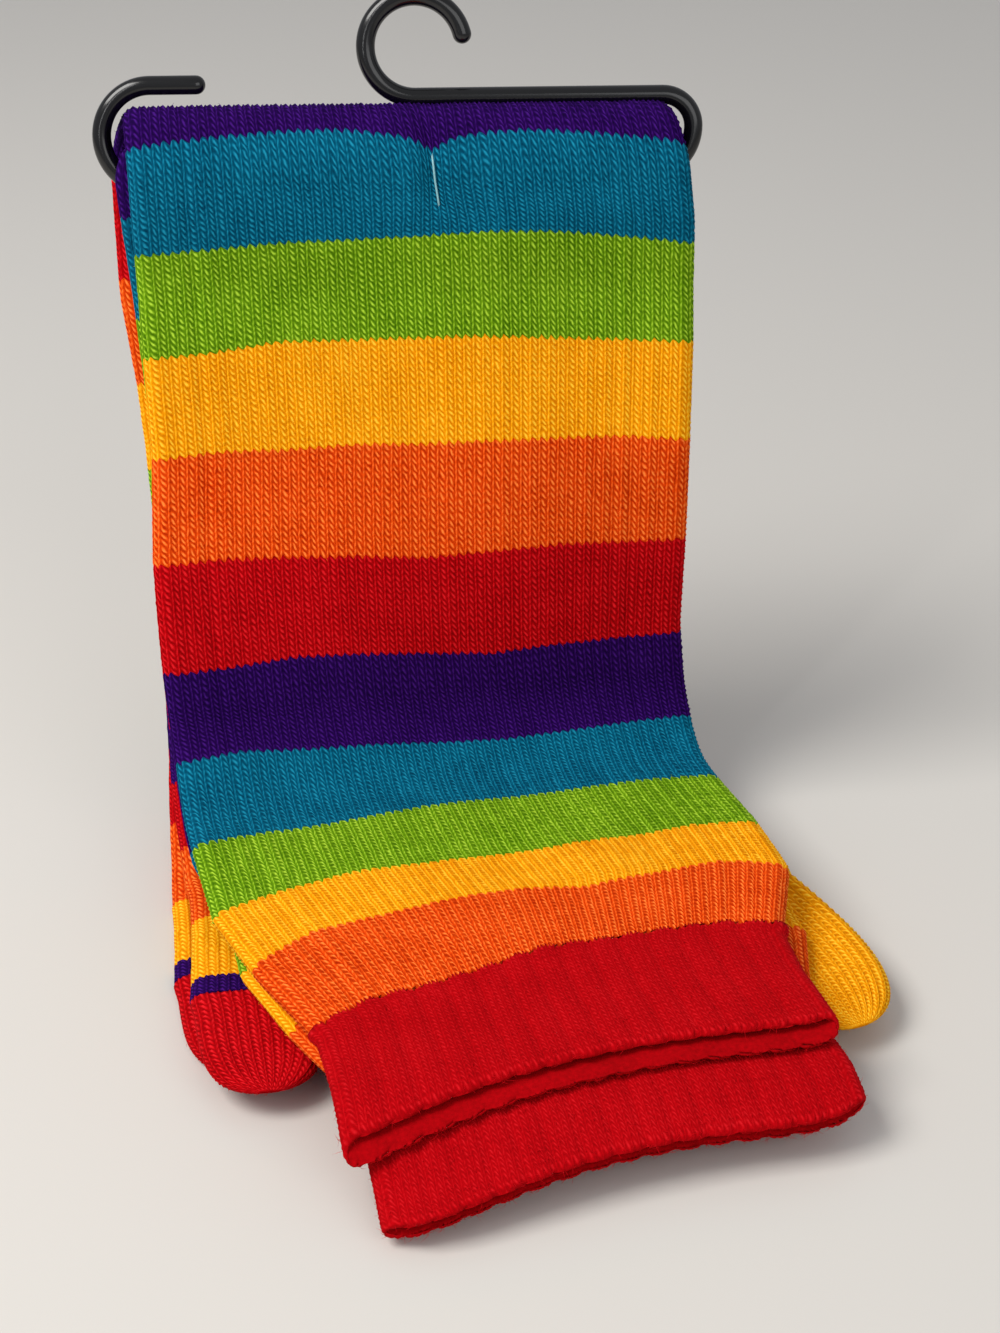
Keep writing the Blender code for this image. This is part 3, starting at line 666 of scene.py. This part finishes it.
def knit_toes(sock, name):
    """Five knitted toes, each a pocket with a wall, closed at its end."""
    build = Build()
    for number_of, toe in enumerate(TOES):
        rng = np.random.default_rng(SEED + 50 * number_of + sock.layer)
        colour, length, _, _, _, first, last = toe
        wales = int(round(WALES * (last - first) / 2))
        courses = int(round(length / TOE_COURSE))
        at, rise, high, low = knit_columns([(0, wales)], wales, rng)
        rows = 2 * courses
        share = np.linspace(0, 1, rows + 1)
        share = 0.996 * (1 - (1 - share) ** 1.25)
        number = np.arange(rows + 1) / 2
        gap = np.gradient(share)
        ramp = np.minimum(np.clip(number, 0, 1), np.clip((courses - number) / 2, 0, 1))
        moved = rise + rng.normal(0, 0.05, (rows + 1, len(at)))
        grid_share = np.clip(share[:, None] + 2 * moved * (gap * ramp)[:, None], 0, 0.998)
        turn = np.broadcast_to(at / wales, grid_share.shape)
        base = toe_point(sock, toe, grid_share, turn)
        normal = grid_normals(base, toe_point(sock, toe, grid_share, turn, 0.0, 0.01))
        crest = np.arange(rows + 1) % 2
        fade = np.clip((courses - number) / 5, 0.1, 1)
        lift = np.where(crest[:, None] == 1, high, low) * fade[:, None]
        grid = base + lift[..., None] * normal
        index = build.add_points(grid)
        paint = PALETTE.index(colour)
        build.keep_roots(grid, normal, paint)
        build.knit_faces(index, paint, at, wales, number)
        tip = toe_point(sock, toe, np.array([1.0]), np.array([0.25]))[0]
        build.fan(index[-1], tip, paint)
        inner_turn = np.arange(12) / 12
        inner = toe_point(sock, toe, *spread(np.linspace(0, 0.9, 5), inner_turn), 1.2, INSIDE_HALF)
        inside = build.add_points(inner)
        build.grid_faces(inside, paint, flip=True)
        build.fan(inside[-1], inner[-1].mean(0), paint, flip=True)
        build.stitch(index[0], at / wales, inside[0], inner_turn, paint, flip=True)
    build.make(name, YARNS)


def cuff_columns():
    """Round the cuff from its left edge. columns: share of the flat part, edge, angle round it, phase of the rib"""
    per_rib = 4 * RIB_WALES
    count = RIBS * per_rib
    step = 90 / EDGE_COLUMNS
    rows = [(0.0, -1.0, step * k, k / per_rib) for k in range(EDGE_COLUMNS)]
    rows += [(k / count, 0.0, 90, k / per_rib) for k in range(count + 1)]
    rows += [(1.0, 1.0, 90 - step * k, k / per_rib) for k in range(1, 2 * EDGE_COLUMNS)]
    rows += [(k / count, 0.0, -90, k / per_rib) for k in range(count, -1, -1)]
    rows += [(0.0, -1.0, step * k - 90, k / per_rib) for k in range(1, EDGE_COLUMNS)]
    return np.array(rows, float)


def cuff_point(sock, grow, flat, edge, angle, inset, half, rounding=EDGE_ROUND):
    """A point of the cuff at a share of its length, from the shares that say where it is round the tube."""
    base = sock.leg_bounds[-1] + GAP + sock.cuff_length * grow
    left, right = sock.leg_width(base)
    left, right = left - inset, right - inset
    turn = np.radians(angle)
    side = -left + rounding + (left + right - 2 * rounding) * flat + edge * rounding * np.cos(turn)
    height = half * np.sin(turn)
    share = np.clip((2 * side + left - right) / (left + right), -1, 1)
    corner = np.where(share < 0, sock.corners[0], sock.corners[1]) * np.abs(share) ** CORNER_POWER
    reach = sock.skew * (0.5 - 0.5 * np.sin(turn)) - corner
    moved = read_warp(sock.leg_bounds[-1] + 0 * base, share) if sock.layer else 0.0
    return sock.leg_place(base + grow * reach - moved * (1 - np.clip(grow, 0, 1)) ** 2, side, height)


def knit_cuff(sock, name):
    """A sleeve of raised ribs, each of three wales beside a sunken one, with a soft rolled mouth."""
    rng = np.random.default_rng(SEED + 7 * sock.layer)
    flat, edge, angle, phase = cuff_columns().T
    part = np.mod(phase * RIB_WALES, 1.0)
    groove = bump(np.abs(np.mod(phase + 0.5, 1.0) - 0.5), 0, 0.20)
    on_flat = edge == 0
    yarns = np.abs(np.sin(2 * math.pi * part))
    rise = 0.5 - 0.5 * np.cos(2 * math.pi * part)
    lift = 0.16 * yarns - 0.06 + np.where(on_flat, 0.20 - 0.30 * groove, 0.1)
    number = np.concatenate(((0.0, 0.06, 0.16, 0.3, 0.5, 0.75), np.arange(2, 2 * CUFF_COURSES + 1) / 2))
    left = (CUFF_COURSES - number)[:, None]
    number = number[:, None]
    ramp = np.minimum(np.clip(number, 0, 1), np.clip(left / 1.5, 0, 1))
    slip = rng.normal(0, 0.06, (len(number), len(flat)))
    grow = np.clip(1 - number / CUFF_COURSES - (rise + slip) * ramp / CUFF_COURSES, 0, 1)
    loose = np.clip(1 - number / 3, 0, 1)
    tuck = np.clip(1 - left, 0, 1) ** 2
    tongue = np.where(on_flat, 0.12 - 0.35 * groove, -0.05) + rng.normal(0, 0.03, len(flat))
    grow = grow + (tongue * loose - 1.1 * tuck) / sock.cuff_length
    into = np.clip(number * sock.cuff_length / CUFF_COURSES, 0, CUFF_ROLL)
    drop = CUFF_ROLL - np.sqrt(CUFF_ROLL ** 2 - (CUFF_ROLL - into) ** 2)
    high = lift * (0.4 + 0.6 * np.clip(number / 1.5, 0, 1)) + 0.05 * np.cos(2 * math.pi * (number - 0.5)) * yarns
    high = high + rng.normal(0, 0.02, high.shape) - 0.06 * tuck
    around = [np.broadcast_to(x, grow.shape) for x in (flat, edge, angle)]
    base = cuff_point(sock, grow, *around, 0.7 * drop, BASE_HALF - drop)
    normal = grid_normals(base, cuff_point(sock, grow, *around, 1.5, 0.01))
    grid = base + high[..., None] * normal
    build = Build()
    index = build.add_points(grid)
    for rows in (len(grid), 8, 5):
        build.keep_roots(grid[:rows], normal[:rows], PALETTE.index("red"))
    build.knit_faces(index, 0, np.arange(len(flat)) / 4, len(flat) / 4, number[:, 0])
    rings = []
    for grown, inset, lip in ((1.0, 0.6, 0.85), (0.99, 0.9, 0.55), (0.975, 1.2, 0.35), (0.94, 1.6, 0.2),
                              (0.7, WALL, 0.2), (0.35, WALL, 0.2), (0.0, WALL, 0.2)):
        grown = grown + tongue * (grown > 0.98) / sock.cuff_length
        rings.append(cuff_point(sock, grown, flat, edge, angle, inset, lip, 1.2))
    inside = build.add_points(np.array(rings))
    build.grid_faces(inside, 0)
    places = np.arange(len(flat)) / len(flat)
    build.stitch(index[0], places, inside[0], places, 0, flip=True)
    build.stitch(index[-1], places, inside[-1], places, 0)
    build.make(name, [CUFF_YARN])


def make_fuzz(sources):
    """Fine loose fibres, each a thin closed spike that starts inside the yarn."""
    rng = np.random.default_rng(SEED + 99)
    build = Build()
    for source, count, length in sources:
        points, normals, paints = (np.concatenate(kept) for kept in zip(*builds[source].roots))
        pick = rng.integers(0, len(points), count)
        start, out = points[pick], normals[pick]
        lean = rng.normal(0, 1.0, (count, 3))
        lean = unit(lean - (lean * out).sum(-1, keepdims=True) * out)
        curl = np.cross(out, lean)
        long = length * rng.uniform(0.45, 1.25, (count, 1))
        bend = rng.uniform(0.4, 1.5, (count, 1))
        twist = rng.normal(0, 0.5, (count, 1))
        line = []
        for t in (-0.08, 0.35, 0.7, 1.0):
            reach = 0.55 * t * out * (1 - 0.35 * t) + bend * 0.75 * t * t * lean + twist * t * t * curl
            line.append(start + long * reach)
        corners = []
        for k, radius in enumerate((0.034, 0.03, 0.022)):
            ahead = unit(line[k + 1] - line[k])
            one = unit(np.cross(ahead, lean + 0.3 * curl + 0.1))
            two = np.cross(ahead, one)
            corners += [line[k] + radius * (math.cos(a) * one + math.sin(a) * two) for a in np.radians((0, 120, 240))]
        index = build.add_points(np.stack(corners + line[3:], 1))
        triangles = index[:, FIBRE_FACES].reshape(-1, 3).tolist()
        build.add_triangles(triangles, np.repeat(paints[pick], len(FIBRE_FACES)))
    build.make("loose_fibres", FIBRES)


def arc_points(u, v, radius, start, end, count):
    angles = np.radians(np.linspace(start, end, count + 1))
    return np.stack((u + radius * np.cos(angles), v + radius * np.sin(angles)), -1)


def make_hanger():
    """One bent round rod with rounded ends."""
    dip = LEFT_BEND_V - LEFT_BEND_RADIUS
    arm = LEFT_BEND_V + LEFT_BEND_RADIUS
    upper = TOP_ROD_V - RIGHT_BEND_RADIUS
    share = np.linspace(0.06, 1, 12)
    line = np.concatenate((
        np.array([(ARM_TIP_U, arm), (ARM_TIP_U - 3, arm)]),
        arc_points(LEFT_BEND_U, LEFT_BEND_V, LEFT_BEND_RADIUS, 90, 262, 44),
        np.stack((LEFT_BEND_U + share * (LOWER_ROD_START_U - LEFT_BEND_U), dip * (1 - smooth(share))), -1),
        np.array([(0.0, 0.0)]),
        arc_points(RIGHT_BEND_U, RIGHT_BEND_RADIUS, RIGHT_BEND_RADIUS, -90, 0, 20),
        arc_points(RIGHT_BEND_U + RIGHT_BEND_RADIUS - upper, RIGHT_BEND_RADIUS, upper, 0, 90, 16)[1:],
        np.array([(22.0, TOP_ROD_V)]),
        arc_points(HOOK_U, HOOK_V, HOOK_RADIUS, 270, HOOK_TIP_ANGLE, 64),
    ))
    ahead = unit(np.gradient(line, axis=0))
    cap = np.radians(np.arange(15, 91, 15))
    reach = ROD_RADIUS * np.cos(cap)[:, None]
    line = np.concatenate((line[0] - reach * ahead[0], line[1:-1], line[-1] + reach[::-1] * ahead[-1]))
    radii = ROD_RADIUS * np.concatenate((np.sin(cap), np.ones(len(line) - 12), np.sin(cap[::-1])))
    tangent = np.gradient(line, axis=0)
    tangent[:6], tangent[-6:] = ahead[0], ahead[-1]
    tangent = unit(tangent)
    plane = np.stack((ACROSS, UP))
    middle = ROD_CENTRE + line @ plane
    beside = np.stack((-tangent[:, 1], tangent[:, 0]), -1) @ plane
    # the caps' widest rings lie where the line's own ends are
    tips = middle[5] - ROD_RADIUS * ahead[0] @ plane, middle[-6] + ROD_RADIUS * ahead[-1] @ plane
    build = Build()
    build.add_rod(middle, beside, FRONT[None], radii, 28, tips)
    build.make("hanger_rod", [ROD])


def make_thread(sock):
    """The fine clear thread that gathers the front of the outer sock below the fold."""
    t = np.linspace(0, 1, 30)
    height = BASE_HALF + 0.25 - 0.9 * bump(t, 0, 0.15) - 0.9 * bump(t, 1, 0.12)
    line = sock.place(sock.blue_edge - 1.4 - 11 * t, GATHER_AT + 1.3 * t, height)
    ahead = unit(np.gradient(line, axis=0))
    beside = unit(np.cross(ahead, FRONT))
    tips = line[0] - 0.1 * ahead[0], line[-1] + 0.1 * ahead[-1]
    build = Build()
    build.add_rod(line, beside, np.cross(beside, ahead), np.full(30, THREAD_RADIUS), 8, tips)
    build.make("fastening_thread", [THREAD])


# ---------------------------------------------------------------- materials
class Nodes:
    """A short way to write shader nodes."""

    def __init__(self, name):
        self.material = bpy.data.materials.new(name)
        self.material.use_nodes = True
        self.tree = self.material.node_tree
        self.shader = self.tree.nodes["Principled BSDF"]

    def add(self, kind, **settings):
        node = self.tree.nodes.new(kind)
        for key, value in settings.items():
            setattr(node, key, value)
        return node

    def link(self, output, socket):
        self.tree.links.new(output, socket)

    def put(self, node, **values):
        """Sets inputs by name, with _ for a space."""
        for key, value in values.items():
            node.inputs[key.replace("_", " ")].default_value = value

    def noise(self, place, scale, detail):
        node = self.add("ShaderNodeTexNoise")
        self.put(node, Scale=scale, Detail=detail)
        self.link(place, node.inputs["Vector"])
        return node.outputs[0]

    def math(self, operation, one, two=None):
        node = self.add("ShaderNodeMath", operation=operation)
        for socket, value in zip(node.inputs, (one, two)):
            if value is None:
                continue
            if isinstance(value, (int, float)):
                socket.default_value = value
            else:
                self.link(value, socket)
        return node.outputs[0]

    def peak(self, value, centre, width):
        """One at the centre, falling straight to zero at this distance from it."""
        away = self.math("ABSOLUTE", self.math("SUBTRACT", value, centre))
        return self.math("MAXIMUM", self.math("SUBTRACT", 1.0, self.math("DIVIDE", away, width)), 0.0)


def knit_material(name, tones, strokes=1.0):
    """Yarn of one colour with painted light: each wale has a thin painted highlight line on its left and slanted
    painted highlight strokes on its right, with painted shade in the valleys between them and random speckles and
    patches of tone.
    """
    dark, middle, light = tones
    nodes = Nodes(name)
    uv = nodes.add("ShaderNodeUVMap", uv_map="knit")
    split = nodes.add("ShaderNodeSeparateXYZ")
    nodes.link(uv.outputs[0], split.inputs[0])
    place = nodes.add("ShaderNodeTexCoord").outputs["Object"]
    stray = nodes.math("SUBTRACT", nodes.noise(place, 420, 1), 0.5)
    wale = nodes.math("FRACT", nodes.math("ADD", split.outputs[0], nodes.math("MULTIPLY", stray, 0.22)))
    course = nodes.math("ADD", split.outputs[1], nodes.math("MULTIPLY", stray, 0.8))
    speckle = nodes.noise(place, 1500, 2)
    patch = nodes.noise(place, 120, 2)
    # painted highlights: a thin line along each wale's left leg, beating along the courses, and a slanted stroke on
    # its right leg
    line = nodes.peak(wale, 0.17, 0.15)
    stroke = nodes.peak(wale, 0.68, 0.38)
    slant = nodes.math("MULTIPLY", nodes.math("SUBTRACT", wale, 0.68), 0.75)
    phase = nodes.math("MULTIPLY", nodes.math("SUBTRACT", nodes.math("ADD", course, slant), 0.5), 2 * math.pi)
    wave = nodes.math("ADD", 0.5, nodes.math("MULTIPLY", nodes.math("COSINE", phase), 0.5))
    stroke = nodes.math("MULTIPLY", stroke, nodes.math("POWER", wave, 1.4))
    beat = nodes.math("COSINE", nodes.math("MULTIPLY", nodes.math("ADD", course, 0.25), 2 * math.pi))
    line = nodes.math("MULTIPLY", line, nodes.math("ADD", 0.72, nodes.math("MULTIPLY", beat, 0.28)))
    # the highlights raise the level; where neither falls, the level stays low, which paints shade into the valleys
    # between the legs
    level = nodes.math("ADD", nodes.math("MULTIPLY", line, 0.75 * strokes),
                       nodes.math("MULTIPLY", stroke, 1.1 * strokes))
    level = nodes.math("ADD", level, 0.12 + 0.30 * (1 - strokes))
    level = nodes.math("ADD", level, nodes.math("MULTIPLY", nodes.math("SUBTRACT", speckle, 0.5), 0.55))
    level = nodes.math("ADD", level, nodes.math("MULTIPLY", nodes.math("SUBTRACT", patch, 0.5), 0.28))
    # the ramp runs from the painted shade tone through the middle tone to the painted highlight tone; speckles and
    # patches only vary the tone
    ramp = nodes.add("ShaderNodeValToRGB")
    nodes.link(level, ramp.inputs[0])
    stops = ramp.color_ramp.elements
    stops[0].position, stops[1].position = 0.0, 1.0
    stops[0].color, stops[1].color = (*dark, 1), (*light, 1)
    stops.new(0.45).color = (*middle, 1)
    nodes.link(ramp.outputs[0], nodes.shader.inputs["Base Color"])
    bumps = nodes.add("ShaderNodeBump")
    nodes.put(bumps, Strength=0.25, Distance=0.0003)
    nodes.link(speckle, bumps.inputs["Height"])
    nodes.link(bumps.outputs[0], nodes.shader.inputs["Normal"])
    nodes.put(nodes.shader, Roughness=0.95, Specular_IOR_Level=0.05, Sheen_Weight=0.06, Sheen_Roughness=0.5,
              Sheen_Tint=(*light, 1))
    return nodes.material


def plain_material(name, colour, roughness, **inputs):
    nodes = Nodes(name)
    nodes.put(nodes.shader, Base_Color=(*colour, 1), Roughness=roughness, **inputs)
    return nodes.material


YARNS = [knit_material(name + "_knit", COLOURS[name]) for name in PALETTE]
# The cuff's rib yarn has weaker painted highlight lines and strokes, and less painted shade between them.
CUFF_YARN = knit_material("red_rib_knit", CUFF_TONES, 0.45)
# Each fibre's colour mixes its yarn's middle tone with the yarn's painted highlight tone, which paints the fibres
# lighter than the yarn.
FIBRES = [plain_material(name + "_fibre", [min(0.6 * b + 0.5 * c, 1) for b, c in zip(*COLOURS[name][1:])], 1.0,
                         Specular_IOR_Level=0.03)
          for name in PALETTE]
ROD = plain_material("gloss_black_rod", (0.003, 0.003, 0.0035), 0.17, Specular_IOR_Level=0.5)
THREAD = plain_material("clear_thread", (0.20, 0.42, 0.46), 0.4)
FLOOR = plain_material("pale_surface", (0.62, 0.595, 0.555), 0.5)

# ---------------------------------------------------------------- pieces
# Spans of wales, from the left edge over the free face, that are drawn stitch by stitch
FINE_FRONT = [(0, 62), (116, 118)]
FINE_EDGES = [(0, 7), (52, 66), (111, 118)]
for side, part, fine, per_course in (("outer", "leg", FINE_FRONT, 2), ("outer", "foot", FINE_FRONT, 1),
                                     ("inner", "leg", FINE_EDGES, 1), ("inner", "foot", FINE_EDGES, 1)):
    rows = SOCKS[side].stripes()
    knit_tube(SOCKS[side], f"{side}_{part}", rows[:CUT] if part == "leg" else rows[CUT:], fine, per_course)
for side in ("outer", "inner"):
    knit_toes(SOCKS[side], f"{side}_toes")
    knit_cuff(SOCKS[side], f"{side}_rib_cuff")
make_hanger()
make_thread(SOCKS["outer"])
# columns: piece, number of fibres, their length
make_fuzz((
    ("outer_rib_cuff", 1300, 1.4), ("inner_rib_cuff", 1300, 1.4), ("outer_leg", 1200, 0.9), ("outer_toes", 500, 1.2),
    ("inner_toes", 700, 1.2), ("outer_foot", 300, 0.9), ("inner_foot", 300, 0.9), ("inner_leg", 300, 0.9),
))

for side in ("outer", "inner"):
    for part in ("leg", "foot", "toes"):
        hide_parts(f"{side}_sock")
    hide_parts(f"{side}_cuff")
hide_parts("hanger")

for side in ("outer", "inner"):
    rows = SOCKS[side].stripes()


# ---------------------------------------------------------------- surface, light and camera
def make_floor():
    mesh = bpy.data.meshes.new("surface")
    z = REST_Z * MM
    mesh.from_pydata([(-3, -3, z), (3, -3, z), (3, 3, z), (-3, 3, z)], [], [(0, 1, 2, 3)])
    mesh.materials.append(FLOOR)
    obj = bpy.data.objects.new("surface", mesh)
    bpy.context.scene.collection.objects.link(obj)


def add_area(name, place, target, size, power, colour=(1, 1, 1)):
    light = bpy.data.lights.new(name, "AREA")
    light.shape = "RECTANGLE"
    light.size, light.size_y = size
    light.energy = power
    light.color = colour
    obj = bpy.data.objects.new(name, light)
    obj.location = Vector(place)
    direction = Vector(target) - Vector(place)
    obj.rotation_euler = direction.to_track_quat("-Z", "Y").to_euler()
    bpy.context.scene.collection.objects.link(obj)


def set_view():
    scene = bpy.context.scene
    world = bpy.data.worlds.new("studio")
    world.use_nodes = True
    world.node_tree.nodes["Background"].inputs[0].default_value = (0.86, 0.88, 0.92, 1)
    world.node_tree.nodes["Background"].inputs[1].default_value = 0.50
    scene.world = world
    add_area("key", (-0.55, -0.25, 0.65), (0, -0.03, -0.08), (0.5, 0.5), 8.3, (1, 0.98, 0.95))
    add_area("fill", (0.5, -0.9, 0.45), (0, 0, -0.08), (0.8, 0.6), 2.7)
    add_area("strip", (-0.30, -0.50, 0.30), (0, 0, -0.03), (0.03, 0.5), 0.5)
    camera = bpy.data.cameras.new("photo_view")
    camera.lens = PHOTO_LENS
    camera.sensor_width = PHOTO_SENSOR
    obj = bpy.data.objects.new("photo_view", camera)
    level = math.cos(PHOTO_PITCH)
    forward = Vector((math.sin(PHOTO_TURN) * level, math.cos(PHOTO_TURN) * level, -math.sin(PHOTO_PITCH)))
    right = Vector((math.cos(PHOTO_TURN), -math.sin(PHOTO_TURN), 0))
    up = right.cross(forward)
    axes = Matrix((right, up, -forward)).transposed().to_4x4()
    axes.translation = Vector(PHOTO_PLACE)
    obj.matrix_world = axes
    scene.collection.objects.link(obj)
    scene.camera = obj
    scene.view_settings.view_transform = "Standard"


make_floor()
set_view()
